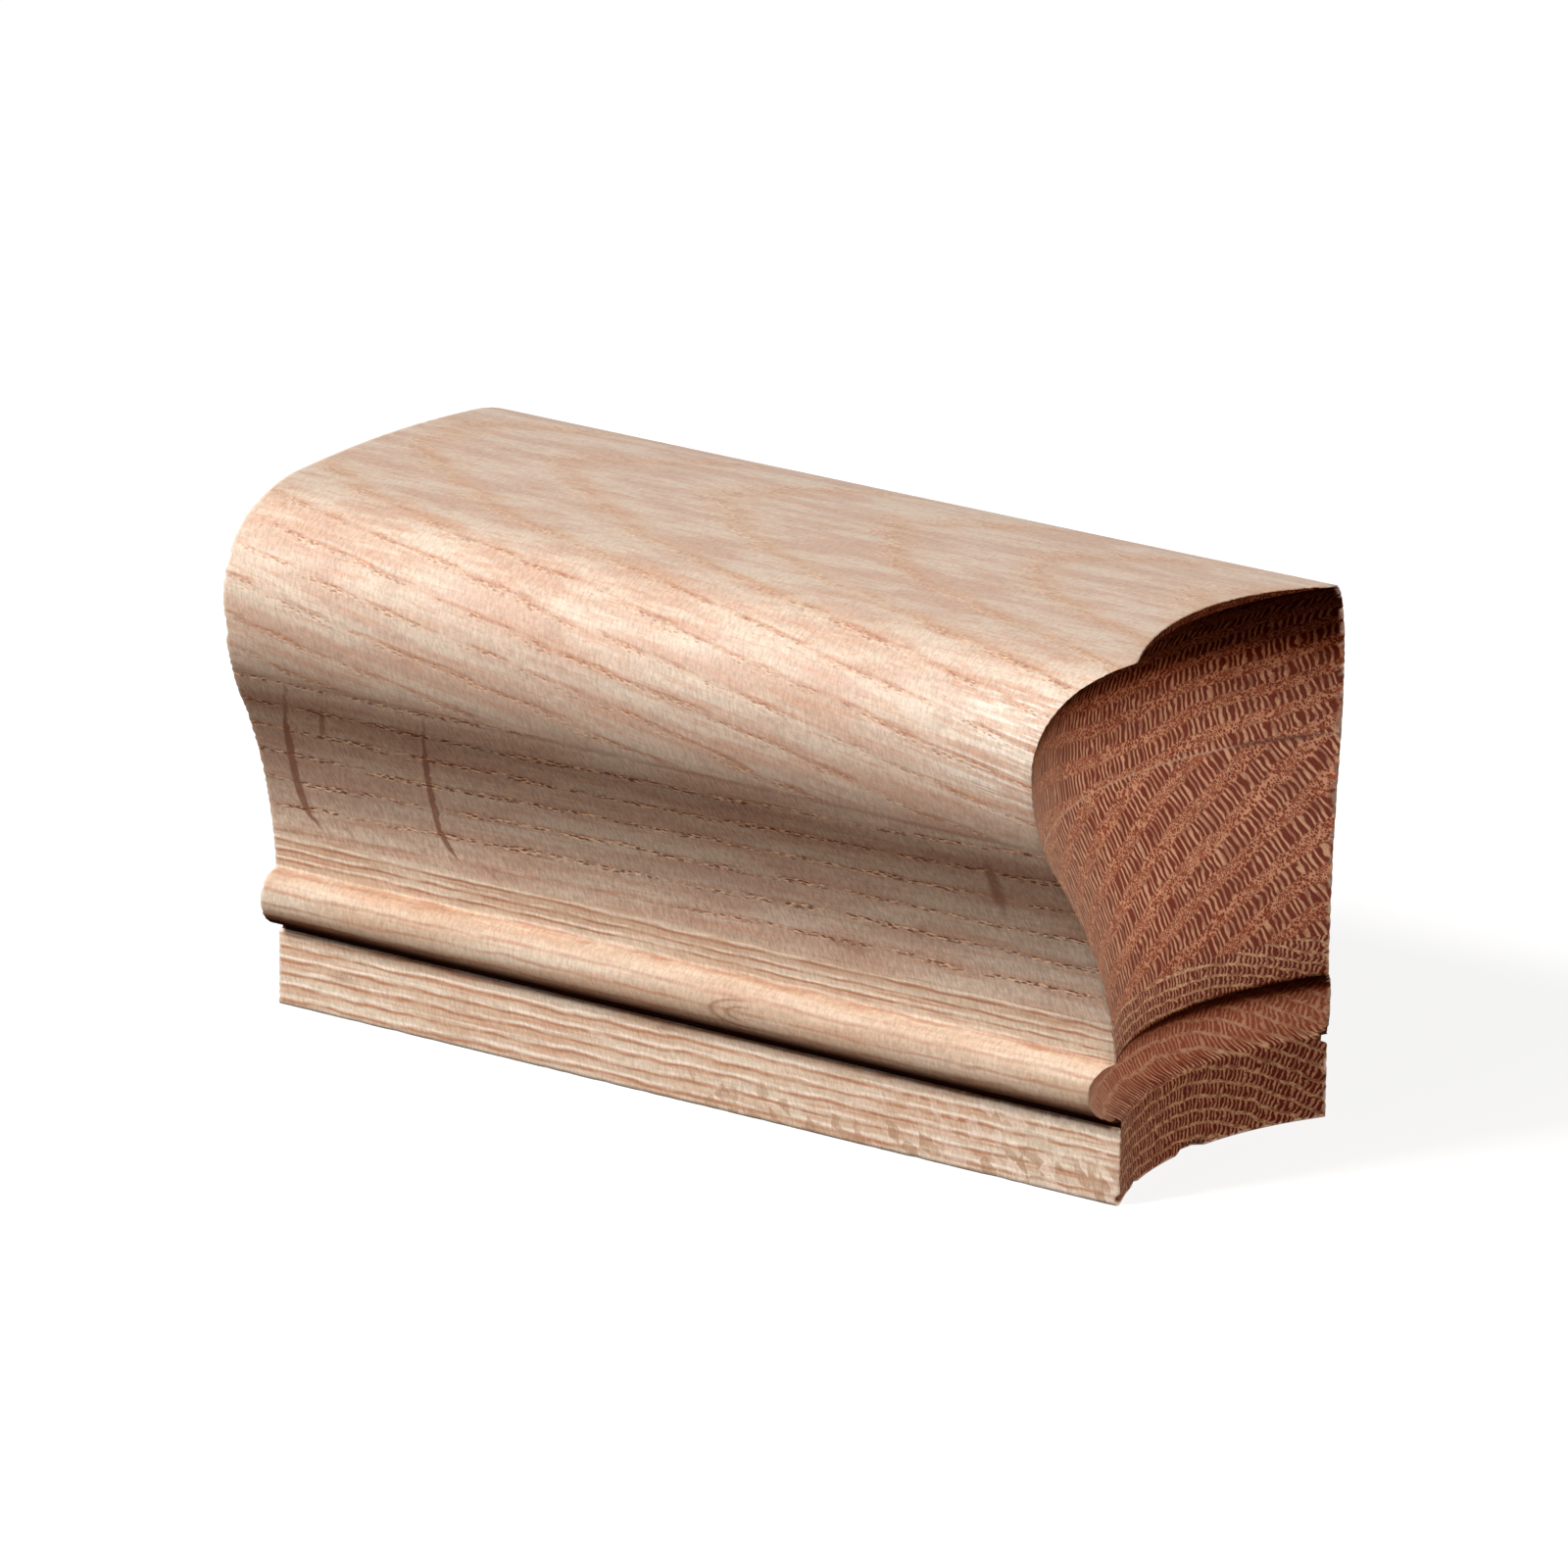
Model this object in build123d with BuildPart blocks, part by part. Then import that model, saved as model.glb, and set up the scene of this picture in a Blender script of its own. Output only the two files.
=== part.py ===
from build123d import *
from math import asin, cos, degrees, radians, sin, sqrt
import os

# Coped end for a moulded stair handrail, in one piece of hardwood.
# The square end is glued and bolted to the rail. The other end is hollowed to a
# turned shape, so that it closes against the rim of a round newel cap whose rim
# has the rail's own side moulding.
# Frame: +X along the rail towards the cope, +Y across it, +Z up, origin at the
# middle of the length on the underside. All sizes in millimetres.

# Rail section, seen on the square end
rail_width = 57.15
rail_height = 60.325
base_width = 38.1
fillet_height = 8.5
fillet_arris_radius = 0.35

# Grip: three arcs from the middle of the crown down to the widest point
crown_radius = 194.0
upper_shoulder_radius = 19.0
lower_shoulder_radius = 10.25
shoulder_break_angle = 61.5
belly_radius = 25.2

# Bead centred on the line of the fillet's face, with a narrow quirk between them
bead_diameter = 6.5
bead_root_radius = 0.6
quirk_height = 0.8
quirk_depth = 0.65

# Cove from the bead up to the belly; it would stand upright just inside the bead
neck_projection = 0.4
cove_foot_drop = 0.45

# Length over the two tips of the cope, and the round cap that seats in it
overall_length = 113.3
cap_top_diameter = 76.2
cap_core_radius = 20.0
tool_overrun = 3.0

# Section worked out from the sizes above, as half widths and heights
half_rail = rail_width / 2
half_base = base_width / 2
bead_radius = bead_diameter / 2
bead_height = fillet_height + quirk_height + bead_radius
half_neck = half_base + neck_projection
cove_foot = bead_height - cove_foot_drop

# The crown turns until the two shoulder arcs just reach the full width
shoulder_step = upper_shoulder_radius - lower_shoulder_radius
shoulder_reach = lower_shoulder_radius + shoulder_step * cos(radians(shoulder_break_angle))
crown_turn = degrees(asin((half_rail - shoulder_reach) / (crown_radius - upper_shoulder_radius)))
widest_height = (
    rail_height
    - crown_radius * (1 - cos(radians(crown_turn)))
    - upper_shoulder_radius * cos(radians(crown_turn))
    + shoulder_step * sin(radians(shoulder_break_angle))
)

# The cove's radius lets it touch the belly smoothly and reach the neck upright
cove_depth = half_rail - half_neck
cove_rise = widest_height - cove_foot
cove_radius = (cove_depth**2 + cove_rise**2) / (2 * cove_depth) - belly_radius
belly_turn = degrees(asin(cove_rise / (cove_radius + belly_radius)))

# The tips of the cope stand where the narrowest part of the end leaves the cap
lip_half_width = cap_top_diameter / 2 - cap_core_radius
tip_half_width = min(lip_half_width, half_base)
tip_x = overall_length / 2
cap_axis_x = tip_x + sqrt(cap_core_radius**2 + 2 * cap_core_radius * tip_half_width)


# One side of the rail above its fillet: crown, shoulder, belly, cove and bead
with BuildSketch() as side_moulding:
    with BuildLine():
        crown = JernArc((0, rail_height), (1, 0), crown_radius, -crown_turn)
        upper_turn = 90 - shoulder_break_angle - crown_turn
        upper = JernArc(crown @ 1, crown % 1, upper_shoulder_radius, -upper_turn)
        lower = JernArc(upper @ 1, upper % 1, lower_shoulder_radius, -shoulder_break_angle)
        belly = JernArc(lower @ 1, lower % 1, belly_radius, -belly_turn)
        cove = JernArc(belly @ 1, belly % 1, cove_radius, belly_turn)
        Polyline(cove @ 1, (0, cove_foot), (0, rail_height))
    make_face()
    with Locations((half_base, bead_height)):
        Circle(bead_radius)
    # The crease where the bead runs into the cove is slightly eased
    bead_top = bead_height + bead_radius
    crease = side_moulding.vertices().filter_by_position(Axis.Y, bead_height + bead_radius / 2, bead_top)
    fillet(crease, bead_root_radius)

with BuildPart() as coped_rail_end:
    # The rail's section, run from the square end to the tips of the cope
    with BuildSketch(Plane.YZ.offset(tip_x - overall_length)) as section:
        add(side_moulding.sketch)
        Rectangle(half_base - quirk_depth, bead_height, align=(Align.MIN, Align.MIN))
        with BuildLine():
            base = Line((0, 0), (half_base, 0))
            face = Line(base @ 1, (half_base, fillet_height - fillet_arris_radius))
            arris = JernArc(face @ 1, face % 1, fillet_arris_radius, 90)
            Polyline(arris @ 1, (0, fillet_height), (0, 0))
        make_face()
        mirror(about=Plane.YZ)
    extrude(amount=overall_length)

    # The round cap: the same side moulding turned about the cap's axis. Its rim has
    # no quirk, and above the rim it is a plain cylinder that leaves the upright lip.
    cap_plane = Plane(origin=(cap_axis_x - cap_core_radius, 0, 0), x_dir=(-1, 0, 0), z_dir=(0, 1, 0))
    with BuildSketch(cap_plane) as cap_half:
        add(side_moulding.sketch)
        with Locations((0, -tool_overrun)):
            Rectangle(half_base, tool_overrun + bead_height, align=(Align.MIN, Align.MIN))
        with Locations((-cap_core_radius, -tool_overrun)):
            Rectangle(
                cap_top_diameter / 2,
                rail_height + 2 * tool_overrun,
                align=(Align.MIN, Align.MIN),
            )
    revolve(axis=Axis((cap_axis_x, 0, 0), (0, 0, 1)), mode=Mode.SUBTRACT)

coped_rail_end.part.label = "coped_rail_end"

os.makedirs("parts", exist_ok=True)
export_step(coped_rail_end.part, "parts/coped_rail_end.step")
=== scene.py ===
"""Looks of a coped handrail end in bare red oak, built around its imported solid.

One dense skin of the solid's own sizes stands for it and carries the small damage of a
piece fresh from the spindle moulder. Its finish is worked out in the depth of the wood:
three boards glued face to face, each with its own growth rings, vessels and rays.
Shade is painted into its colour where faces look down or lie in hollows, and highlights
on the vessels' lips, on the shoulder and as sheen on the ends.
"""

import logging
import math
from bisect import bisect_left
from dataclasses import dataclass, field
from enum import Enum, unique
from typing import Any, Callable, Sequence, Union

import bmesh
import bpy
from mathutils import Matrix, Vector, noise


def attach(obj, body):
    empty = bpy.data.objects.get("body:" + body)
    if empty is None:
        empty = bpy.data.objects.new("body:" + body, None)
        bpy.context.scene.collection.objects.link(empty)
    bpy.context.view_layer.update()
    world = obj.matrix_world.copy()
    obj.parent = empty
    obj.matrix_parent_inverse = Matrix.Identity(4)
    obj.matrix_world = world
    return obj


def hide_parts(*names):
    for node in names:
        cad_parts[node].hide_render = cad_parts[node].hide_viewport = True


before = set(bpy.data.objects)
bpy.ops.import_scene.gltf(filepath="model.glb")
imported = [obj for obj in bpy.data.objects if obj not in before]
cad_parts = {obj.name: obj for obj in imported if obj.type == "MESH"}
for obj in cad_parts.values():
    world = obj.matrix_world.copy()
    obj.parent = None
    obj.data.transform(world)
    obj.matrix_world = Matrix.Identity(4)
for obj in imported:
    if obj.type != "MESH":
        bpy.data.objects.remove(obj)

MM = 0.001
LOG = logging.getLogger("coped_rail_end")

Colour = tuple[float, float, float]
BLACK: Colour = (0.0, 0.0, 0.0)
Feed = Union[float, Sequence[float], "Value", bpy.types.NodeSocket]

# Sockets of a Mix node that mixes colours
AMOUNT, UNDER, OVER, MIXED = 0, 6, 7, 2


def linear(red: int, green: int, blue: int) -> Colour:
    """Turns a colour as seen on a screen, 0 to 255, into the light it stands for.

    Args:
        red, green, blue: the colour's three parts.

    Returns:
        The same colour in linear parts, 0 to 1.
    """
    def part(value: int) -> float:
        """Turns one part into linear light, by the curve that screens share."""
        share = value / 255
        return share / 12.92 if share <= 0.04045 else ((share + 0.055) / 1.055) ** 2.4
    return part(red), part(green), part(blue)


def eased(value: float, low: float, high: float) -> float:
    """Rises smoothly from 0 at low to 1 at high."""
    share = min(1.0, max(0.0, (value - low) / (high - low)))
    return share * share * (3 - 2 * share)


class Value:
    """A number that changes over the surface: a socket that takes Python's operators."""

    def __init__(self, graph: "Graph", socket: bpy.types.NodeSocket) -> None:
        """Wraps one output socket of a graph."""
        self.graph = graph
        self.socket = socket

    def __add__(self, other: Feed) -> "Value":
        """Adds a value or number."""
        return self.graph.maths("ADD", self, other)

    __radd__ = __add__

    def __mul__(self, other: Feed) -> "Value":
        """Multiplies by a value or number."""
        return self.graph.maths("MULTIPLY", self, other)

    __rmul__ = __mul__

    def __sub__(self, other: Feed) -> "Value":
        """Takes a value or number away."""
        return self.graph.maths("SUBTRACT", self, other)

    def __rsub__(self, other: Feed) -> "Value":
        """Takes this away from a number."""
        return self.graph.maths("SUBTRACT", other, self)

    def __truediv__(self, other: Feed) -> "Value":
        """Divides by a value or number."""
        return self.graph.maths("DIVIDE", self, other)

    def __rtruediv__(self, other: Feed) -> "Value":
        """Divides a number by this."""
        return self.graph.maths("DIVIDE", other, self)

    def __pow__(self, other: Feed) -> "Value":
        """Raises to a power."""
        return self.graph.maths("POWER", self, other)

    def __gt__(self, other: Feed) -> "Value":
        """Is 1 where this is the greater, and 0 elsewhere."""
        return self.graph.maths("GREATER_THAN", self, other)

    def __abs__(self) -> "Value":
        """Drops the sign."""
        return self.graph.maths("ABSOLUTE", self)

    def times(self, other: Feed) -> "Value":
        """Is the product held between 0 and 1."""
        made = self.graph.node(
            "ShaderNodeMath", {"operation": "MULTIPLY", "use_clamp": True}, {0: self, 1: other}
        )
        return Value(self.graph, made.outputs[0])

    def positive(self) -> "Value":
        """Is this, or 0 where it is below 0."""
        return self.graph.maths("MAXIMUM", self, 0.0)

    def root(self) -> "Value":
        """Is the square root."""
        return self.graph.maths("SQRT", self)

    def whole(self) -> "Value":
        """Is the whole number below."""
        return self.graph.maths("FLOOR", self)

    def rest(self) -> "Value":
        """Is what is left above the whole number below."""
        return self.graph.maths("FRACT", self)

    def angle(self, other: Feed) -> "Value":
        """Is the angle whose tangent is this over the other, in radians."""
        return self.graph.maths("ARCTAN2", self, other)

    def rise(self, low: Feed, high: Feed) -> "Value":
        """Goes smoothly from 0 at low to 1 at high, and the other way where low is above high.

        Args:
            low: where it is still 0.
            high: where it has reached 1.

        Returns:
            A value from 0 to 1.
        """
        node = self.graph.node(
            "ShaderNodeMapRange",
            {"interpolation_type": "SMOOTHSTEP"},
            {"Value": self, "From Min": low, "From Max": high, "To Min": 0.0, "To Max": 1.0},
        )
        return Value(self.graph, node.outputs[0])

    def bump_at(self, place: Feed, reach: float) -> "Value":
        """Is 1 where this equals a place, and falls to 0 over a reach on both sides."""
        return abs(self - place).rise(reach, 0.0)


class Graph:
    """A node tree, written by expressions and one method for all other nodes."""

    def __init__(self, tree: bpy.types.NodeTree) -> None:
        """Empties the tree and keeps it."""
        tree.nodes.clear()
        self.tree = tree

    def node(
        self,
        kind: str,
        settings: dict[str, Any] | None = None,
        feeds: dict[int | str, Feed] | None = None,
    ) -> bpy.types.Node:
        """Adds one node.

        Args:
            kind: the node's type.
            settings: its properties, set first; "stops" are a ramp's places and colours.
            feeds: values or links of its sockets, by number or name.

        Returns:
            The new node.
        """
        made = self.tree.nodes.new(kind)
        for name, value in (settings or {}).items():
            if name == "stops":
                ramp = made.color_ramp
                while len(ramp.elements) < len(value):
                    ramp.elements.new(0.5)
                for element, (place, colour) in zip(ramp.elements, value):
                    element.position = place
                    element.color = (*colour, 1.0)
            else:
                setattr(made, name, value)
        for key, feed in (feeds or {}).items():
            socket = made.inputs[key]
            if isinstance(feed, Value):
                self.tree.links.new(feed.socket, socket)
            elif isinstance(feed, bpy.types.NodeSocket):
                self.tree.links.new(feed, socket)
            elif isinstance(feed, (int, float)):
                socket.default_value = feed
            else:
                whole = list(feed) + [1.0] * (len(socket.default_value) - len(feed))
                socket.default_value = whole
        return made

    def maths(self, operation: str, *feeds: Feed) -> Value:
        """Adds a Math node over up to three values or numbers."""
        made = self.node("ShaderNodeMath", {"operation": operation}, dict(enumerate(feeds)))
        return Value(self, made.outputs[0])

    def vector(self, x: Feed, y: Feed, z: Feed) -> bpy.types.NodeSocket:
        """Joins three values into a vector."""
        return self.node("ShaderNodeCombineXYZ", None, {0: x, 1: y, 2: z}).outputs[0]

    def mix(
        self, settings: dict[str, Any], amount: Feed, under: Feed, over: Feed
    ) -> bpy.types.NodeSocket:
        """Adds a Mix node for colours.

        Args:
            settings: its properties, apart from what it mixes.
            amount: the share of the second colour.
            under, over: the two colours.

        Returns:
            The mixed colour.
        """
        settings = {"data_type": "RGBA", **settings}
        feeds = {AMOUNT: amount, UNDER: under, OVER: over}
        return self.node("ShaderNodeMix", settings, feeds).outputs[MIXED]

    def blend(self, under: Feed, over: Feed, amount: Feed) -> bpy.types.NodeSocket:
        """Lays one colour over another by an amount from 0 to 1."""
        return self.mix({"clamp_factor": True}, amount, under, over)

    def scaled(self, colour: Feed, amount: Feed) -> bpy.types.NodeSocket:
        """Makes a colour lighter or darker by a factor, which may pass 1."""
        return self.mix({"clamp_factor": False}, amount, BLACK, colour)

    def tinted(self, colour: Feed, tint: Feed) -> bpy.types.NodeSocket:
        """Multiplies one colour by another, part by part."""
        return self.mix({"blend_type": "MULTIPLY"}, 1.0, colour, tint)

    def ramp(self, amount: Feed, stops: Sequence[tuple[float, Colour]]) -> bpy.types.NodeSocket:
        """Turns a value into a colour by stops."""
        return self.node("ShaderNodeValToRGB", {"stops": stops}, {0: amount}).outputs[0]

    def either(
        self, amount: Feed, first: bpy.types.Node, second: bpy.types.Node
    ) -> bpy.types.Node:
        """Shows one shader where an amount is 0 and another where it is 1."""
        shaders = {0: amount, 1: first.outputs[0], 2: second.outputs[0]}
        return self.node("ShaderNodeMixShader", None, shaders)

    def seen(self) -> Value:
        """Is above 0 for what the camera sees, straight or by a gloss or through glass."""
        rays = self.node("ShaderNodeLightPath").outputs
        seen = Value(self, rays["Is Camera Ray"]) + Value(self, rays["Is Glossy Ray"])
        return seen + Value(self, rays["Is Transmission Ray"])

    def cloud(self, place: Feed, detail: float = 2.0, rough: float = 0.5) -> Value:
        """Adds a soft random value around 0.5.

        Args:
            place: the vector that it is read at, one unit to a cell.
            detail: how many finer layers it has.
            rough: how strong the finer layers are.

        Returns:
            A value from 0 to 1.
        """
        made = self.node(
            "ShaderNodeTexNoise",
            {"noise_dimensions": "3D"},
            {"Vector": place, "Scale": 1.0, "Detail": detail, "Roughness": rough},
        )
        return Value(self, made.outputs[0])

    def cells(self, place: Feed) -> tuple[Value, Value]:
        """Adds scattered cells, one unit to a cell.

        Args:
            place: the vector that they are read at.

        Returns:
            The distance to a cell's middle, and a random value that it has all over.
        """
        made = self.node(
            "ShaderNodeTexVoronoi", {"voronoi_dimensions": "3D", "feature": "F1"},
            {"Vector": place, "Scale": 1.0, "Randomness": 1.0},
        )
        parts = self.node("ShaderNodeSeparateColor", None, {0: made.outputs["Color"]})
        return Value(self, made.outputs["Distance"]), Value(self, parts.outputs[0])


@dataclass(frozen=True)
class Moulding:
    """Sizes of the rail's section and of the cope, in millimetres, as the solid has them."""

    length: float = 113.3
    half_rail: float = 28.575
    height: float = 60.325
    half_base: float = 19.05
    crown_radius: float = 194.0
    upper_radius: float = 19.0
    lower_radius: float = 10.25
    break_angle: float = math.radians(61.5)
    belly_radius: float = 25.2
    bead_radius: float = 3.25
    bead_height: float = 12.55
    quirk_floor: float = 8.5
    quirk_depth: float = 0.65
    quirk_slope: float = 0.05
    crease_rise: float = 3.2
    crease_angle: float = math.radians(80)
    arris_radius: float = 0.35
    half_neck: float = 19.45
    cove_foot: float = 12.1
    cap_core: float = 20.0
    lip_radius: float = 38.1

    @property
    def axis_x(self) -> float:
        """Where the cap's axis stands along the rail."""
        lip = self.lip_radius - self.cap_core
        return self.length / 2 + math.sqrt(self.lip_radius**2 - lip**2)

    def half_outline(self, fineness: float) -> list[Vector]:
        """Runs down one side of the section, by turning a point about each arc's middle.

        Args:
            fineness: how far apart the points lie, in millimetres.

        Returns:
            Points from the crown's middle to the corner of the base, with x always 0.
        """
        step = self.upper_radius - self.lower_radius
        reach = self.lower_radius + step * math.cos(self.break_angle)
        turn = math.asin((self.half_rail - reach) / (self.crown_radius - self.upper_radius))
        crown_z = self.height - self.crown_radius
        upper_y = (self.crown_radius - self.upper_radius) * math.sin(turn)
        upper_z = crown_z + (self.crown_radius - self.upper_radius) * math.cos(turn)
        lower_y = upper_y + step * math.cos(self.break_angle)
        lower_z = upper_z + step * math.sin(self.break_angle)
        rise = lower_z - self.cove_foot
        depth = self.half_rail - self.half_neck
        cove_radius = (depth**2 + rise**2) / (2 * depth) - self.belly_radius
        belly = math.asin(rise / (cove_radius + self.belly_radius))
        crease_z = self.bead_height + self.crease_rise
        crease_turn = math.asin((crease_z - self.cove_foot) / cove_radius)
        arcs = (
            (0.0, crown_z, self.crown_radius, turn),
            (upper_y, upper_z, self.upper_radius, math.pi / 2 - self.break_angle - turn),
            (lower_y, lower_z, self.lower_radius, self.break_angle),
            (self.half_rail - self.belly_radius, lower_z, self.belly_radius, belly),
            (self.half_neck + cove_radius, self.cove_foot, cove_radius, crease_turn - belly),
        )
        bm = bmesh.new()
        tip = bmesh.ops.create_vert(bm, co=(0, 0, self.height))["vert"][0]

        def turned(y: float, z: float, radius: float, angle: float) -> bmesh.types.BMVert:
            """Turns the last point about an arc's middle.

            Args:
                y, z: the arc's middle.
                radius: how far the last point stands from it.
                angle: how far it turns, in radians.

            Returns:
                The new last point.
            """
            steps = max(2, round(radius * abs(angle) / fineness))
            made = bmesh.ops.spin(
                bm, geom=[tip], cent=(0, y, z), axis=(-1, 0, 0), angle=angle, steps=steps,
                use_duplicate=False, use_merge=False, use_normal_flip=False,
            )
            return next(g for g in made["geom_last"] if isinstance(g, bmesh.types.BMVert))

        def placed(y: float, z: float, steps: int = 1) -> bmesh.types.BMVert:
            """Runs straight from the last point to a place.

            Args:
                y, z: the place.
                steps: in how many steps.

            Returns:
                The new last point.
            """
            last, start = tip, tip.co.copy()
            for number in range(1, steps + 1):
                last = bmesh.ops.create_vert(
                    bm, co=start.lerp(Vector((0, y, z)), number / steps)
                )["vert"][0]
            return last

        for arc in arcs:
            tip = turned(*arc)
        bead_y = self.half_base
        tip = placed(
            bead_y + self.bead_radius * math.cos(self.crease_angle),
            self.bead_height + self.bead_radius * math.sin(self.crease_angle),
        )
        whole_turn = self.crease_angle + math.pi / 2
        tip = turned(bead_y, self.bead_height, self.bead_radius, whole_turn)
        wall_y = self.half_base - self.quirk_depth
        under = self.bead_height - self.bead_radius
        tip = placed(wall_y, under - self.quirk_slope, steps=3)
        tip = placed(wall_y, self.quirk_floor + self.quirk_slope, steps=4)
        tip = placed(self.half_base - self.arris_radius, self.quirk_floor, steps=2)
        middle_z = self.quirk_floor - self.arris_radius
        tip = turned(self.half_base - self.arris_radius, middle_z, self.arris_radius, math.pi / 2)
        placed(self.half_base, 0.0, round(middle_z / fineness))
        bm.verts.ensure_lookup_table()
        points = [v.co.copy() for v in bm.verts]
        bm.free()
        return points


class End(Enum):
    """The fitting's two ends, by the way that each looks along the rail."""

    SQUARE = -1
    COPED = 1

    @property
    def fray(self) -> float:
        """Gives how far torn fibres reach back from the end, in millimetres."""
        return 0.30 if self is End.SQUARE else 0.16


@dataclass(frozen=True)
class Nick:
    """A small loss at an end's edge, in millimetres. Its core is lost to the full depth."""

    end: End
    y: float
    z: float
    wide: float
    high: float
    deep: float
    core: float = 0.55

    def loss(self, y: float, z: float) -> float:
        """Tells how much length is lost at a point of the section."""
        away = math.hypot((y - self.y) / self.wide, (z - self.z) / self.high)
        return self.deep * (1 - eased(away, self.core, 1.0))


@dataclass(frozen=True)
class PaintedShade:
    """Shade painted into the wood's colour where a face looks down or lies in a hollow.

    Attributes:
        side_start, side_span: the degrees a moulded face looks down at which painted shade
            starts, and over which it reaches full.
        square_end, lip: the painted shade of the square end and of the cope's upright lip, 0 to 1.
        cope_start, cope_rate: the degrees that the cope looks up at which painted shade
            starts, and how fast it grows for each degree less.
        most_painted_shade: the most painted shade on the cope.
        crease, crease_z: how much more painted shade the crease over the bead gets, and its
            height.
        groove: how much less painted shade the cope's groove gets.
        groove_top, groove_foot: the heights over which that starts and ends.
    """

    side_start: float = 1.0
    side_span: float = 48.0
    square_end: float = 0.12
    lip: float = 0.88
    cope_start: float = 18.0
    cope_rate: float = 0.0267
    most_painted_shade: float = 0.92
    crease: float = 0.05
    crease_z: float = 16.4
    groove: float = 0.55
    groove_top: tuple[float, float] = (9.2, 9.6)
    groove_foot: tuple[float, float] = (12.6, 14.8)


@dataclass
class CopedRailEnd:
    """The fitting's skin: the moulded faces, the square end and the coped end. Millimetres.

    Attributes:
        moulding: the solid's own sizes.
        painted_shade: the shade painted into the colour where faces look down and in the hollows.
        fineness: how far apart points lie down the section's outline.
        columns: how many faces an end has across.
        stations: how many faces the moulding has along the rail.
        crowding: how strongly those crowd towards the ends.
        edge_radius: how far the end edges are rounded.
        edge_rows: the rounding's rows, by the shares that each is inset and set back.
        fray_width: how far inside an end's edge its fibres are torn.
        wave, chatter: how high the sanding's broad waves and the cutter's marks are.
        corner_wear, corner_reach: how high and how wide the base's long corner is worn.
        base_zone, corner_zone: below these heights lie the underside and its corner.
        same_place: points closer than this are joined.
        no_length: edges shorter than this are taken out.
        nicks: the small losses at the ends.
        outline: one side of the section, from the crown's middle to the base.
        heights, widths: the outline's heights and half widths, from the base up.
    """

    moulding: Moulding = Moulding()
    painted_shade: PaintedShade = PaintedShade()
    fineness: float = 0.42
    columns: int = 84
    stations: int = 110
    crowding: float = 0.055
    edge_radius: float = 0.14
    edge_rows: tuple[tuple[float, float], ...] = (
        (0.0, 1.0), (0.13, 0.5), (0.5, 0.13), (1.0, 0.0)
    )
    fray_width: float = 0.7
    wave: float = 0.035
    chatter: float = 0.0035
    corner_wear: float = 0.16
    corner_reach: float = 0.8
    base_zone: float = 0.3
    corner_zone: float = 0.5
    same_place: float = 0.0001
    no_length: float = 0.00005
    nicks: tuple[Nick, ...] = (
        Nick(End.COPED, 0.9, 0.0, 2.6, 0.8, 0.9),
        Nick(End.COPED, -11.9, 0.0, 0.9, 0.5, 0.5),
        Nick(End.COPED, -19.05, 0.6, 1.0, 0.7, 0.6),
        Nick(End.SQUARE, -27.7, 52.6, 1.0, 0.9, 0.30),
        Nick(End.SQUARE, -28.4, 44.9, 0.8, 1.9, 0.28),
    )
    outline: list[Vector] = field(init=False)
    heights: list[float] = field(init=False)
    widths: list[float] = field(init=False)

    def __post_init__(self) -> None:
        """Works out the outline once, and from the base up its heights and half widths."""
        self.outline = self.moulding.half_outline(self.fineness)
        self.heights = [p.z for p in reversed(self.outline)]
        self.widths = [p.y for p in reversed(self.outline)]

    def width_at(self, z: float) -> float:
        """Looks up the section's half width.

        Args:
            z: the height.

        Returns:
            The half width there.
        """
        place = min(max(bisect_left(self.heights, z), 1), len(self.heights) - 1)
        low, high = self.heights[place - 1], self.heights[place]
        share = min(1.0, max(0.0, (z - low) / max(high - low, 1e-6)))
        return self.widths[place - 1] * (1 - share) + self.widths[place] * share

    def cope_radius(self, z: float) -> float:
        """Works out the turned shape of the cope.

        Args:
            z: the height.

        Returns:
            How far the coped face stands from the cap's axis there.
        """
        sizes = self.moulding
        if z <= sizes.bead_height - sizes.bead_radius + 0.02:
            return sizes.cap_core + sizes.half_base
        return max(sizes.cap_core + self.width_at(z), sizes.lip_radius)

    def end_x(self, end: End, y: float, z: float) -> float:
        """Gives where the wood stops along the rail, worn edges included.

        Args:
            end: which end.
            y, z: the place in the section.

        Returns:
            The x of the end's face there.
        """
        sizes = self.moulding
        if end is End.COPED:
            radius = self.cope_radius(z)
            clean = sizes.axis_x - math.sqrt(radius**2 - y**2)
        else:
            clean = -sizes.length / 2
        loss = sum(n.loss(y, z) for n in self.nicks if n.end is end)
        loss += self.fray(end, y, z)
        return clean - end.value * loss

    def fray(self, end: End, y: float, z: float) -> float:
        """Works out the torn fibres' loss close to an end's edge.

        Args:
            end: which end.
            y, z: the place in the section.

        Returns:
            How much length is lost there.
        """
        edge = self.width_at(z) - abs(y)
        near = 1 - eased(edge, 0.0, self.fray_width)
        if near <= 0:
            return 0.0
        grain = noise.noise(Vector((end.value * 40.0, y * 1.9, z * 1.9)))
        fine = noise.noise(Vector((end.value * 90.0, y * 5.1, z * 5.1)))
        return near * end.fray * max(0.0, 0.25 + 0.9 * grain + 0.6 * fine)

    def skin_shade(self, point: Vector, outward: Vector) -> float:
        """Works out the shade painted into the colour of the moulded faces.

        Args:
            point: the place in the section.
            outward: the way that the face looks there.

        Returns:
            0 where the face looks up, towards 1 under the belly and the bead, and 1 in the quirk
            as a painted shadow.
        """
        sizes = self.moulding
        floor_edge = sizes.half_base - sizes.arris_radius - 0.02
        under = sizes.bead_height - sizes.bead_radius
        # Painted shadow: the quirk between bead and fillet gets full painted shade.
        if sizes.quirk_floor - 0.3 < point.z < under and abs(point.y) < floor_edge:
            return 1.0
        if point.z < self.base_zone:
            return 0.0
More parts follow.
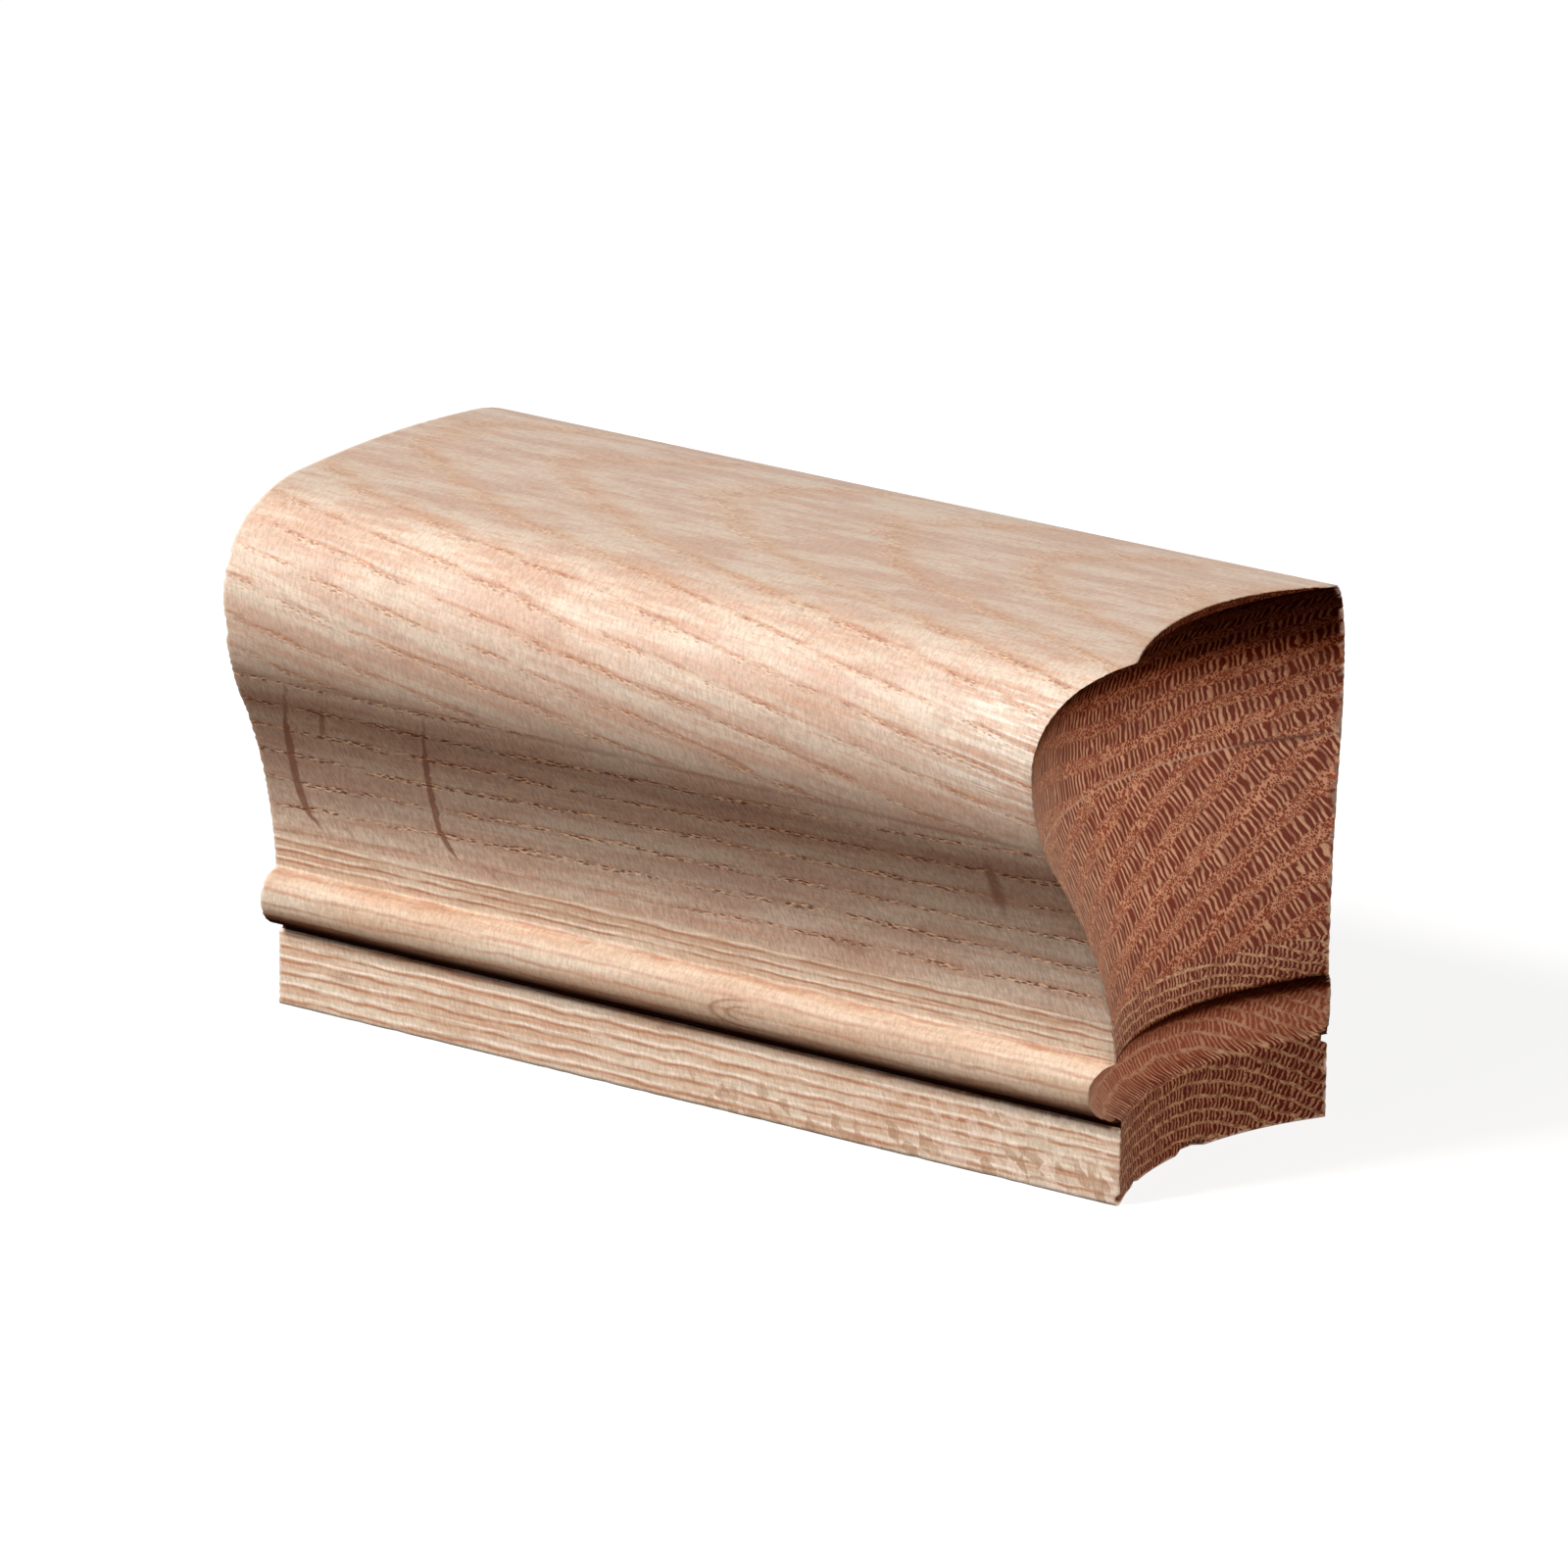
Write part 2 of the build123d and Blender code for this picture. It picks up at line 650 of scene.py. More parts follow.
        # Painted shade grows as the face looks further down.
        tilt = math.degrees(math.asin(max(-1.0, min(1.0, outward.z))))
        shading = self.painted_shade
        return min(1.0, max(0.0, (-tilt - shading.side_start) / shading.side_span))

    def end_shade(self, end: End, z: float) -> float:
        """Works out the shade painted into the colour of an end.

        Args:
            end: which end.
            z: the height.

        Returns:
            A value from 0 to 1, as for the moulded faces.
        """
        shading = self.painted_shade
        if end is End.SQUARE:
            return shading.square_end
        reach = 0.2
        slope = (self.cope_radius(z + reach) - self.cope_radius(z - reach)) / (2 * reach)
        # Painted shade: the upright lip under the crown lies in shade and is darkened.
        if self.cope_radius(z) <= self.moulding.lip_radius + 0.01:
            return shading.lip
        tilt = math.degrees(math.atan(slope))
        # Painted shade: more in the crease over the bead, less in the groove's upward face.
        crease = shading.crease * (1 - eased(abs(z - shading.crease_z), 0.4, 2.2))
        in_groove = shading.groove * eased(z, *shading.groove_top)
        groove = 1 - in_groove * (1 - eased(z, *shading.groove_foot))
        depth = (shading.cope_start - tilt) * shading.cope_rate * groove + crease
        return min(shading.most_painted_shade, max(0.0, depth))

    def inset_outline(self, inset: float) -> list[Vector]:
        """Moves the outline inwards, square to itself.

        Args:
            inset: how far.

        Returns:
            The moved points, in the outline's own order.
        """
        moved = []
        last = len(self.outline) - 1
        for number, point in enumerate(self.outline):
            before = self.outline[max(number - 1, 0)]
            after = self.outline[min(number + 1, last)]
            along = (after - before).normalized()
            if number == 0:
                along = Vector((0, 1, 0))
            if number == last:
                along = Vector((0, 0, -1))
            outward = Vector((0, -along.z, along.y))
            place = point - outward * inset
            if number == last:
                place.z += inset
            moved.append(place)
        return moved

    def across(self, point: Vector, share: float) -> float:
        """Spreads places over the width as they lie on the turned face.

        Args:
            point: the outline's point at this height.
            share: the place, from -1 to 1.

        Returns:
            Its y.
        """
        radius = self.cope_radius(point.z)
        widest = math.asin(min(1.0, point.y / radius))
        return radius * math.sin(share * widest)

    def ring(self, inset: float) -> list[Vector]:
        """Runs once round the section: down one side, along the base and up the other.

        Args:
            inset: how far inside the outline.

        Returns:
            The points, the last in the place of the first.
        """
        side = self.inset_outline(inset)
        base = [
            Vector((0, self.across(side[-1], 1 - 2 * n / self.columns), side[-1].z))
            for n in range(1, self.columns)
        ]
        other = [Vector((0, -p.y, p.z)) for p in reversed(side)]
        return side + base + other

    def surface_wave(self, x: float, y: float, z: float) -> float:
        """Works out the slight unevenness of a sanded moulding.

        Args:
            x, y, z: the place.

        Returns:
            How far the face stands out there, in millimetres.
        """
        broad = noise.noise(Vector((x / 22, y / 11, z / 11)))
        chatter = math.sin(x * 2.3 + 0.8 * broad) * self.chatter
        return self.wave * broad + chatter

    def base_wear(self, x: float, y: float) -> float:
        """Works out how far the long corner of the base is worn upwards.

        Args:
            x, y: the place.

        Returns:
            The height that is lost there, in millimetres.
        """
        edge = self.moulding.half_base
        corner = eased(abs(y), edge - self.corner_reach, edge)
        return self.corner_wear * corner * max(0.0, noise.noise(Vector((x / 2.6, y, 3.0))))

    def formed(
        self, bm: bmesh.types.BMesh, columns: int, rows: int,
        place: Callable[[int, int], tuple[Vector, float]], grain: float,
    ) -> None:
        """Lays out a grid and forms it.

        Args:
            bm: the mesh that it is added to.
            columns, rows: how many faces it has each way.
            place: gives a point of the grid its place, in millimetres, and its shade.
            grain: 1 where the grid shows end grain.
        """
        grains = bm.verts.layers.float["end_grain"]
        shades = bm.verts.layers.float["shade"]
        made = bmesh.ops.create_grid(bm, x_segments=columns, y_segments=rows, size=0.5)
        for vert in made["verts"]:
            column = round((vert.co.x + 0.5) * columns)
            row = round((vert.co.y + 0.5) * rows)
            spot, shade = place(column, row)
            vert.co = spot * MM
            vert[grains], vert[shades] = grain, shade

    def mesh(self) -> bpy.types.Mesh:
        """Builds the whole skin as one closed mesh.

        Returns:
            The mesh, in metres, in the solid's own place.
        """
        bm = bmesh.new()
        bm.verts.layers.float.new("end_grain")
        bm.verts.layers.float.new("shade")
        radius = self.edge_radius
        steps = self.edge_rows
        rings = {inset: self.ring(inset * radius) for inset, _ in steps}
        full = rings[0.0]
        edges = len(steps) - 1
        run = self.stations

        def skin(column: int, row: int) -> tuple[Vector, float]:
            """Places a point of the moulded faces: the end roundings and the run between.

            Args:
                column: its number round the section.
                row: its number along the rail.

            Returns:
                Its place and its shade.
            """
            if row < edges:
                inset, back = steps[edges - row]
                point = rings[inset][column]
                x = self.end_x(End.SQUARE, point.y, point.z) + back * radius
            elif row > edges + run:
                inset, back = steps[row - edges - run]
                point = rings[inset][column]
                x = self.end_x(End.COPED, point.y, point.z) - back * radius
            else:
                inset, point = 0.0, full[column]
                low = self.end_x(End.SQUARE, point.y, point.z) + radius
                high = self.end_x(End.COPED, point.y, point.z) - radius
                share = (row - edges) / run
                spread = share + self.crowding * math.sin(2 * math.pi * share)
                x = low + (high - low) * spread
            before = full[column - 1] if column else full[-2]
            after = full[column + 1] if column < len(full) - 1 else full[1]
            along = (after - before).normalized()
            outward = Vector((0, -along.z, along.y))
            lift = self.surface_wave(x, point.y, point.z) * (1 - inset)
            if point.z < self.base_zone and abs(point.y) < self.moulding.half_base - 0.2:
                lift = 0.0
            place = Vector((x, point.y, point.z)) + outward * lift
            if point.z < self.corner_zone:
                place.z += self.base_wear(x, point.y)
            return place, self.skin_shade(point, outward)

        def cap(end: End) -> Callable[[int, int], tuple[Vector, float]]:
            """Makes the placing of an end's face.

            Args:
                end: which end.

            Returns:
                What places a point of it.
            """
            side = rings[1.0][: len(self.outline)]

            def place(column: int, row: int) -> tuple[Vector, float]:
                """Places a point on the turned cope or the saw cut.

                Args:
                    column: its number across the face.
                    row: its number down the outline.

                Returns:
                    Its place and its shade.
                """
                point = side[row]
                y = self.across(point, 1 - 2 * column / self.columns)
                x = self.end_x(end, y, point.z)
                worn = self.base_wear(x, y) if point.z < self.corner_zone else 0.0
                return Vector((x, y, point.z + worn)), self.end_shade(end, point.z)
            return place

        self.formed(bm, len(full) - 1, run + 2 * edges, skin, 0.0)
        for end in End:
            self.formed(bm, self.columns, len(self.outline) - 1, cap(end), 1.0)
        bmesh.ops.remove_doubles(bm, verts=bm.verts, dist=self.same_place * MM)
        bmesh.ops.dissolve_degenerate(bm, edges=bm.edges, dist=self.no_length * MM)
        bmesh.ops.recalc_face_normals(bm, faces=bm.faces)
        for face in bm.faces:
            face.smooth = True
        open_edges = sum(1 for edge in bm.edges if len(edge.link_faces) != 2)
        made = bpy.data.meshes.new("oak_blank")
        bm.to_mesh(made)
        bm.free()
        LOG.info("skin: %d faces, %d open edges", len(made.polygons), open_edges)
        return made

    def build(self) -> bpy.types.Object:
        """Makes the piece and tells the frame what it stands for.

        Returns:
            The piece.
        """
        piece = bpy.data.objects.new("oak_rail_end", self.mesh())
        bpy.context.scene.collection.objects.link(piece)
        piece.data.materials.append(OakFinish().material())
        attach(piece, "root")
        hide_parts("coped_rail_end")
        return piece


@dataclass(frozen=True)
class Board:
    """One of the blank's three boards, by the rings that its end shows. Millimetres.

    Attributes:
        pith_y, pith_z: the tree's middle, seen on the end.
        lean: how far the rings lean over, across for each step up.
        pitch: how far the fibres rise along the rail.
        spacing: the rings' width.
        offset: where the first ring starts, in rings.
        left_pull: how strongly the rings turn down on the side of -Y.
        pore_reach: the share of a ring that the large vessels take.
        ray_spread: how far apart the rays stand.
        tone: how light the board is.
    """

    pith_y: float
    pith_z: float
    lean: float
    pitch: float
    spacing: float
    offset: float
    left_pull: float
    pore_reach: float
    ray_spread: float
    tone: float


@dataclass(frozen=True)
class Growth:
    """Where a point lies among the growth rings of its board.

    Attributes:
        top: 1 in the top board.
        upper: 1 in the top board and the middle one.
        middle: 1 in the middle board.
        number: the ring's number.
        season: the place in the ring, from 0 at its start to 1 at its end.
        tone: how light the board is there, times the shade painted by height.
        near: 0 at the ring's edge and 0.5 in its middle.
        around: the way round the pith, in millimetres.
        early: 1 in the band of large vessels.
        flow: the way up, square to the fibres, in millimetres.
        spread: how far apart the rays stand, in millimetres.
    """

    top: Value
    upper: Value
    middle: Value
    number: Value
    season: Value
    tone: Value
    near: Value
    around: Value
    early: Value
    flow: Value
    spread: Value


@dataclass(frozen=True)
class Stain:
    """A darker fleck or patch on the moulded side that faces -Y. Millimetres."""

    x: float
    z: float
    wide: float
    high: float
    strength: float
    lean: float = 0.0


@unique
class Tone(Enum):
    """The oak's colours, with painted highlights and sheen among them, as seen on a screen, 0 to
    255.
    """

    SIDE_PALE = (216, 195, 176)
    SIDE_PALE_LOW = (218, 196, 174)
    SIDE_PINK = (202, 170, 150)
    SIDE_PINK_LOW = (203, 172, 146)
    STREAK = (190, 144, 118)
    LATE_WOOD = (240, 222, 205)
    RING_EDGE = (170, 114, 84)
    CROWN_HAZE = (208, 168, 134)
    BRIGHT_STREAK = (246, 232, 218)
    VEIN = (184, 132, 104)
    DARK_FLAKE = (166, 126, 98)
    PALE_FLAKE = (240, 220, 204)
    SWIRL = (150, 104, 78)
    VESSEL_LIP = (250, 208, 168)
    VESSEL = (134, 82, 54)
    VESSEL_MIDDLE = (96, 46, 22)
    SMALL_VESSEL = (150, 104, 80)
    TORN_EDGE = (240, 224, 208)
    SIDE_GLUE = (120, 80, 60)
    STAIN = (114, 58, 26)
    END_WOOD = (122, 44, 22)
    END_WOOD_LOW = (114, 34, 14)
    END_GROOVE = (160, 84, 52)
    RAY = (236, 180, 142)
    EARLY_DARK = (172, 88, 56)
    EARLY_PALE = (236, 170, 132)
    EARLY_LOW = (255, 210, 164)
    VESSEL_HOLE = (108, 42, 24)
    END_FAR = (162, 128, 104)
    END_GLUE = (220, 176, 146)
    SEAM = (92, 40, 30)

    @property
    def light(self) -> Colour:
        """Gives the colour in linear parts."""
        return linear(*self.value)


@unique
class Zone(Enum):
    """Bands that a value fades in over: where it is 0, and where it is 1. Millimetres."""

    # Up
    CROWN = (57.3, 59.6)
    LOW_RINGS = (15.0, 20.0)
    LOWER_MIDDLE = (21.0, 27.0)
    LOWER_TOP = (50.5, 44.0)
    OVER_GLUE = (43.8, 40.2)
    MIDDLE_FOOT = (23.0, 21.4)
    OVER_QUIRK = (10.4, 11.4)
    UNDER_COVE = (16.4, 15.6)
    FILLET = (9.0, 8.4)
    FILLET_FOOT = (5.0, 2.5)
    SHEET_WIDENS = (21.0, 23.5)
    SHEET_NARROWS = (35.5, 33.0)
    SHEET_FOOT = (20.8, 22.6)
    SHEET_THINS = (37.5, 33.0)
    SHEET_TOP = (40.2, 38.6)
    OVER_BELLY = (42.0, 46.0)
    UNDER_CROWN = (57.5, 55.0)
    GROOVE_FOOT = (9.2, 9.8)
    GROOVE_TOP = (16.4, 15.4)
    # Along the rail
    NEAR_COPE = (30.0, 50.0)
    COPED_HALF = (-10.0, 10.0)
    DARK_FLAKES = (-16.0, 8.0)
    PALE_FLAKES = (10.0, 45.0)
    SWIRL = (10.5, 8.0)
    SAW_CUT = (-56.0, -56.6)
    # Across
    NEAR_SIDE = (-8.0, -12.0)
    FAR_SIDE = (-4.0, -27.0)
    STAIN_FROM = (15.0, 18.0)
    STAIN_TO = (27.0, 24.0)
    SEAM_FROM = (14.0, 18.0)
    SEAM_TO = (27.0, 23.0)

    def of(self, place: Value) -> Value:
        """Goes smoothly from 0 to 1 over the band."""
        return place.rise(*self.value)


@dataclass(frozen=True)
class OakFinish:
    """Bare sanded red oak, worked out in the depth of the wood. Millimetres.

    Attributes:
        bottom, middle, top: the three boards of the blank.
        lower_glue, upper_glue: the heights of the glue lines between them.
        stains: the darker flecks of the side that faces -Y.
        ray_sheets: the large rays there, by their place along the rail and their width.
        sheet_bend_z: the height at which those rays stand upright.
        painted_shade: what the wood's colour is multiplied by at painted-shade levels from 0 to 1,
            darker and redder.
    """

    bottom: Board = Board(
        pith_y=-3.0, pith_z=-27.0, lean=0.0, pitch=0.004, spacing=1.5, offset=0.0,
        left_pull=0.35, pore_reach=0.26, ray_spread=0.64, tone=1.02,
    )
    middle: Board = Board(
        pith_y=-41.0, pith_z=145.0, lean=0.0, pitch=0.031, spacing=3.32, offset=0.95,
        left_pull=1.0, pore_reach=0.14, ray_spread=0.86, tone=0.97,
    )
    top: Board = Board(
        pith_y=-2.0, pith_z=118.0, lean=0.55, pitch=-0.144, spacing=3.0, offset=0.75,
        left_pull=1.0, pore_reach=0.17, ray_spread=0.82, tone=1.01,
    )
    lower_glue: float = 20.1
    upper_glue: float = 40.2
    stains: tuple[Stain, ...] = (
        Stain(-34.5, 53.6, 1.3, 2.2, 0.15),
        Stain(-43.0, 54.0, 1.9, 2.2, 0.09),
        Stain(-12.4, 52.5, 1.6, 1.5, 0.15),
        Stain(38.8, 52.1, 1.4, 1.5, 0.14),
        Stain(-45.9, 35.2, 0.42, 2.2, 0.62, 0.4),
        Stain(-45.7, 21.9, 0.5, 0.9, 0.30, -1.3),
        Stain(-26.3, 20.8, 0.35, 1.0, 0.34, -1.2),
        Stain(43.4, 34.0, 1.0, 3.2, 0.66),
        Stain(31.7, 26.0, 0.9, 0.9, 0.45, 0.4),
        Stain(21.7, 22.4, 2.6, 0.7, 0.42),
        Stain(-3.5, 7.9, 1.1, 0.6, 0.35),
        Stain(-48.0, 4.4, 1.9, 0.7, 0.30),
    )
    ray_sheets: tuple[tuple[float, float], ...] = ((-33.0, 0.48), (-52.0, 0.60))
    sheet_bend_z: float = 28.0
    # Painted shade: colour grows darker and redder with more shade.
    painted_shade: tuple[tuple[float, Colour], ...] = (
        (0.0, (1.0, 1.0, 1.0)), (0.17, (0.90, 0.86, 0.83)), (0.33, (0.74, 0.67, 0.62)),
        (0.48, (0.60, 0.50, 0.44)), (0.75, (0.34, 0.22, 0.17)), (1.0, (0.08, 0.03, 0.02)),
    )

    def rings(self, g: Graph, x: Value, y: Value, z: Value) -> Growth:
        """Works out where a point lies among the growth rings of its board.

        Args:
            g: the graph.
            x, y, z: the point, in millimetres.

        Returns:
            Its place in the tree.
        """
        upper = z > self.lower_glue
        top = z > self.upper_glue

        def by_board(name: str) -> Value:
            """Picks a size of the board that a point lies in."""
            low, mid, high = (getattr(b, name) for b in (self.bottom, self.middle, self.top))
            return upper * (mid - low) + top * (high - mid) + low

        broad = g.cloud(g.vector(x / 60, y / 14, z / 14), 1.0)
        ripple = g.cloud(g.vector(x / 9, y / 1.8, z / 1.8), 2.0)
        beside = y - by_board("pith_y")
        across = beside - by_board("lean") * (z - 45)
        across = across * (1 - (0 - across).rise(0.0, 2.0) * (1 - by_board("left_pull")))
        pitch = by_board("pitch")
        rise = z - by_board("pith_z") - pitch * (x - 52)
        radius = (across * across + rise * rise).root()
        spacing = by_board("spacing")
        turns = radius / spacing + by_board("offset")
        waver = g.cloud(g.vector(x / 5, y / 2.2, z / 2.2), 1.0) - 0.5
        turns = turns + (broad - 0.5) * 0.8 + (ripple - 0.5) * 0.36
        turns = turns + (waver * 0.45 + Zone.LOW_RINGS.of(z) * 0.8) * (1 - upper)
        number, season = turns.whole(), turns.rest()
        reach = by_board("pore_reach")
        middle = upper - top
        # Painted shade by height, on top of the board's own tone: the cove under the belly, the
        # top board's lower edge and the bead's lower half are darkened.
        shade_by_height = middle * (Zone.LOWER_MIDDLE.of(z) * 0.21 + z.bump_at(35.6, 2.8) * -0.08)
        shade_by_height = shade_by_height + top * (Zone.LOWER_TOP.of(z) * 0.09 + Zone.OVER_GLUE.of(z) * 0.15)
        shade_by_height = shade_by_height + (1 - upper) * z.bump_at(12.9, 3.4) * 0.15
        return Growth(
            top=top, upper=upper, middle=middle, number=number, season=season,
            tone=by_board("tone") * (1 - shade_by_height),
            near=0.5 - abs(season - 0.5),
            around=beside.angle(abs(rise)) * (number * spacing),
            early=season.rise(reach * 1.5, reach * 0.8) + season.rise(0.975, 1.0),
            flow=z - pitch * x,
            spread=by_board("ray_spread"),
        )

    def marks(self, x: Value, y: Value, z: Value, soft: Value) -> Value:
        """Gathers the large rays and the stains of the side that faces -Y.

        Args:
            x, y, z: the point, in millimetres.
            soft: a random value that frays the edges.

        Returns:
            How dark the point is stained, 0 to 1.
        """
        above = ((z - self.sheet_bend_z) / 12).positive() ** 2 * 3.0
        below = ((self.sheet_bend_z - z) / 6).positive() ** 3 * 1.9
        along = x - above - below + (soft - 0.5) * 0.7
        total = None
        thick = Zone.SHEET_WIDENS.of(z) * (Zone.SHEET_NARROWS.of(z) * 0.6 + 0.4)
        span = Zone.SHEET_FOOT.of(z) * (Zone.SHEET_THINS.of(z) * 0.45 + 0.45)
        span = span * Zone.SHEET_TOP.of(z)
        for sheet, wide in self.ray_sheets:
            away = abs(along - sheet) / (thick * wide * 0.8 + 0.12)
            line = (away + (soft - 0.5) * 0.8).rise(1.2, 0.55) * span
            total = line if total is None else total + line
        for stain in self.stains:
            drawn = x - stain.x - (z - stain.z) * stain.lean
            away = ((drawn / stain.wide) ** 2 + ((z - stain.z) / stain.high) ** 2).root()
            total = total + (away + (soft - 0.5) * 0.9).rise(1.25, 0.5) * stain.strength
        return total * Zone.NEAR_SIDE.of(y)

    def fillet_figure(
        self, g: Graph, x: Value, y: Value, z: Value, low: Value, patch: Value,
        colour: bpy.types.NodeSocket,
    ) -> bpy.types.NodeSocket:
        """Adds the flakes of the base fillet and the small swirl on the bead.

        Args:
            g: the graph.
            x, y, z: the point, in millimetres.
            low: 1 in the bottom board.
            patch: a random value that frays the flakes.
            colour: the colour so far.

        Returns:
            The colour with them.
        """
        place = g.vector(x / 1.3 + z / 2.6 + patch * 0.9, y / 3.0, z / 1.6 + patch * 0.9)
        _, pick = g.cells(place)
        where = low * Zone.FILLET.of(z) * Zone.DARK_FLAKES.of(x)
        dark_flakes = where * pick.rise(0.66, 0.76) * Zone.FILLET_FOOT.of(z)
        pale_flakes = where * pick.rise(0.38, 0.28) * Zone.PALE_FLAKES.of(x)
        colour = g.blend(colour, Tone.DARK_FLAKE.light, dark_flakes * 0.6)
        colour = g.blend(colour, Tone.PALE_FLAKE.light, pale_flakes * 0.35)
        swirl_x, swirl_z = (x - 9.5) / 5.0, (z - 12.6) / 1.5
        swirl = (swirl_x * swirl_x + swirl_z * swirl_z).root()
        arcs = (swirl.bump_at(0.52, 0.14) + swirl.bump_at(0.95, 0.14)) * Zone.SWIRL.of(x)
        return g.blend(colour, Tone.SWIRL.light, arcs * low * Zone.NEAR_SIDE.of(y) * 0.7)

    def long_grain(
        self, g: Graph, x: Value, y: Value, z: Value, ring: Growth
    ) -> tuple[bpy.types.NodeSocket, Value, Value]:
        """Writes the moulded faces, which are cut along the grain.

        Args:
            g: the graph.
            x, y, z: the point, in millimetres.
            ring: where it lies among the rings.

        Returns:
            The colour, the height in millimetres and the roughness.
        """
        near, early, top, flow = ring.near, ring.early, ring.top, ring.flow
        middle, low = ring.middle, 1 - ring.upper
        fibre = g.cloud(g.vector(x / 4, y / 0.12, flow / 0.12), 3.0, 0.65)
        streak = g.cloud(g.vector(x / 13, y / 0.5, flow / 0.5), 3.0, 0.6)
        broad = g.cloud(g.vector(x / 20, y / 2.4, flow / 2.4), 3.0, 0.55)
        cross = g.cloud(g.vector(x / 0.34 + z / 1.5, y / 0.8, z / 0.8), 2.0, 0.65)
        patch = g.cloud(g.vector(x / 5, y / 1.0, flow / 1.0), 2.0, 0.5)
        crown = Zone.CROWN.of(z)

        def vessels(shift: float) -> Value:
            """Scatters the opened vessels.

            Args:
                shift: how far down they are moved, in millimetres.

            Returns:
                1 inside a vessel.
            """
            moved = flow + shift
            cell, _ = g.cells(g.vector(x / 0.95, y / 0.30, moved / 0.30))
            return (cell - middle * 0.10).rise(0.44, 0.22)

        gate = early * (patch + middle * 0.06).rise(0.36, 0.56) * (1 - crown * 0.4 - low * 0.85)
        gate = gate * (1 - middle * Zone.MIDDLE_FOOT.of(z))
        pores = vessels(0.0) * gate
        # Painted highlight: pale copies of the vessels, moved down, stand for each vessel's lit
        # lower lip.
        lip_highlight = vessels(0.22) * gate * (1 - pores)
        dot, _ = g.cells(g.vector(x / 0.8, y / 0.16, flow / 0.16))
        small = dot.rise(0.22, 0.10) * (1 - early)

        pale = g.blend(Tone.SIDE_PALE.light, Tone.SIDE_PALE_LOW.light, low)
        pink = g.blend(Tone.SIDE_PINK.light, Tone.SIDE_PINK_LOW.light, low)
        colour = g.blend(pale, pink, broad.rise(0.38, 0.62))
        bead = low * Zone.OVER_QUIRK.of(z) * Zone.UNDER_COVE.of(z)
        streaks = streak.rise(0.49, 0.68) * (0.55 + low * 0.3 - bead * 0.35)
        colour = g.blend(colour, Tone.STREAK.light, streaks)
        after = ring.season.bump_at(0.30, 0.22) * (low - bead)
        after = after * (streak + patch).rise(0.80, 1.08)
        colour = g.blend(colour, Tone.LATE_WOOD.light, after * 0.85)
        thread = near.rise(0.12 + low * 0.10, 0.01) * (0.2 + 0.8 * patch.rise(0.36, 0.58))
        thread = (thread + low * near.rise(0.2, 0.03) * 0.4) * (1 - crown * 0.45 - bead * 0.35)
        colour = g.blend(colour, Tone.RING_EDGE.light, thread.times(0.64 - middle * 0.15))
        haze = near.rise(0.26, 0.04) * crown
        colour = g.blend(colour, Tone.CROWN_HAZE.light, haze * 0.35)
        # Painted highlight: near-white streaks on the shoulder close to the cope.
        bright = streak.rise(0.50, 0.40) * Zone.NEAR_COPE.of(x)
        bright = bright * Zone.OVER_BELLY.of(z) * Zone.UNDER_CROWN.of(z)
        colour = g.blend(colour, Tone.BRIGHT_STREAK.light, bright * 0.7)
        side_vein = streak.bump_at(0.56, 0.022) * patch.rise(0.44, 0.60) * top
        colour = g.blend(colour, Tone.VEIN.light, side_vein * 0.6)
        colour = self.fillet_figure(g, x, y, z, low, patch, colour)

        shade = 1 + (fibre - 0.5) * 0.22 + (streak - 0.5) * 0.34
        shade = shade + (cross - 0.5) * (0.85 + middle * 0.35 - crown * 0.3)
        # Painted shade and light: the crown is darkened and the fillet lightened to set their
        # brightness.
        shade = shade * (1 - crown * 0.19 + low * Zone.FILLET.of(z) * 0.07)
        colour = g.scaled(colour, shade * ring.tone)
        colour = g.blend(colour, Tone.VESSEL_LIP.light, lip_highlight.times(0.55 + middle * 0.27))
        deep = g.blend(Tone.VESSEL.light, Tone.VESSEL_MIDDLE.light, middle)
        colour = g.blend(colour, deep, pores.times(0.62 + middle * 0.28))
        colour = g.blend(colour, Tone.SMALL_VESSEL.light, small * 0.35)
        torn = Zone.SAW_CUT.of(x) * 0.55
        colour = g.blend(colour, Tone.TORN_EDGE.light, torn)
        glue = z.bump_at(self.upper_glue - 0.2, 0.5) * patch.rise(0.25, 0.5)
        colour = g.blend(colour, Tone.SIDE_GLUE.light, glue * 0.4)
        colour = g.blend(colour, Tone.STAIN.light, self.marks(x, y, z, patch).times(0.84))
        height = fibre * 0.016 + cross * 0.034
        return colour, height, 0.44 + fibre * 0.10

    def end_grain(
        self, g: Graph, x: Value, y: Value, z: Value, ring: Growth
    ) -> tuple[bpy.types.NodeSocket, Value]:
        """Writes the square end and the cope, which are cut across the grain.

        Args:
            g: the graph.
            x, y, z: the point, in millimetres.
            ring: where it lies among the rings.

        Returns:
            The colour and the height in millimetres.
        """
        season, low = ring.season, 1 - ring.upper
        along = ring.around / ring.spread
        jitter = g.cloud(g.vector(along / 3.0, ring.number * 3.7, x / 8), 2.0, 0.5)
        wander = g.cloud(g.vector(along / 1.3, ring.number * 5.3, season * 2.2), 1.0)
        grit = g.cloud(g.vector(x / 0.5, y / 0.14, z / 0.14), 2.0, 0.6)
        tone = g.cloud(g.vector(x / 9, y / 5, z / 5), 3.0, 0.55)
        vessel, grain = g.cells(g.vector(x / 1.6, y / 0.27, z / 0.27))
        beat = along + jitter * 2.2 + wander * 1.1 + ring.number * 0.37
        beat = beat + (season - 0.5) * (season - 0.5) * 1.3
        ray = abs(beat.rest() - 0.5).rise(0.29, 0.12) * (0.40 + 0.60 * wander.rise(0.32, 0.6))
        groove = Zone.GROOVE_FOOT.of(z) * Zone.GROOVE_TOP.of(z) * Zone.COPED_HALF.of(x)
        ray = ray * (1 - groove * 0.5)
